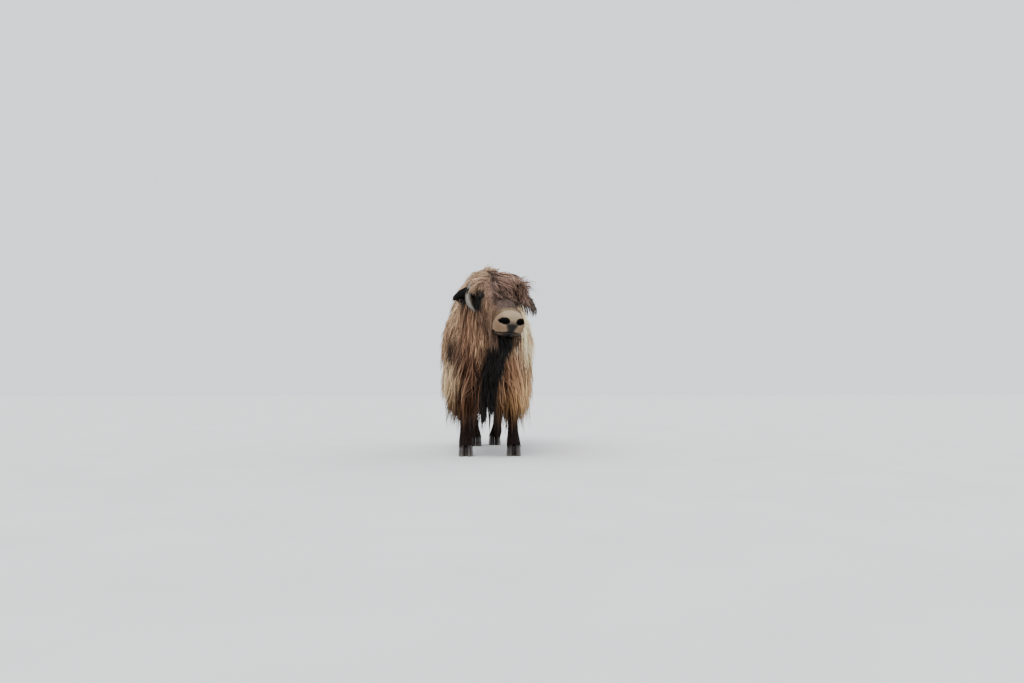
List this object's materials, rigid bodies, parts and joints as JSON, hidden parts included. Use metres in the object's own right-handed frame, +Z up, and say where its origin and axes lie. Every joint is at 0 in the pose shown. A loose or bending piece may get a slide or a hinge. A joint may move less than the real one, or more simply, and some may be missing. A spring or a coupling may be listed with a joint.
{
  "type": "yak",
  "caption": "Life-size still model of a long-haired domestic yak bull standing square, head lowered and turned to its left.",
  "frame": {"origin": "on the floor, under the middle of the animal's bounding box", "axes": "+Z up, +Y towards the tail so the animal faces -Y, +X to the animal's left"},
  "size_m": [0.7324, 2.2124, 1.3777],
  "materials": {
    "coat": "long wavy hair, golden tan with dark brown and pale blonde patches",
    "mane": "long straight strands, golden brown with blonde streaks",
    "face": "short dense hair, grey-brown on the face, cream round the muzzle, curly red-brown forelock",
    "black_hair": "long near-black hair",
    "leg_hair": "short dark maroon-brown hair",
    "horn": "weathered grey horn, darker at the tip, satin",
    "hoof": "dark worn horn, satin",
    "eye": "dark brown wet gloss",
    "tail_hair": "long coarse hair, brown to pale at the tip"
  },
  "bodies": {
    "root": {"head": "face", "neck": "mane", "torso": "coat", "bib": "black_hair", "tail": "tail_hair", "eye_left": "eye", "horn_left": "horn", "ear_left": "black_hair", "eye_right": "eye", "horn_right": "horn", "ear_right": "black_hair", "leg_front_left_upper": "leg_hair", "leg_front_left_lower": "leg_hair", "hoof_front_left": "hoof", "leg_front_right_upper": "leg_hair", "leg_front_right_lower": "leg_hair", "hoof_front_right": "hoof", "leg_hind_left_upper": "leg_hair", "leg_hind_left_lower": "leg_hair", "hoof_hind_left": "hoof", "leg_hind_right_upper": "leg_hair", "leg_hind_right_lower": "leg_hair", "hoof_hind_right": "hoof"}
  },
  "joints": []
}
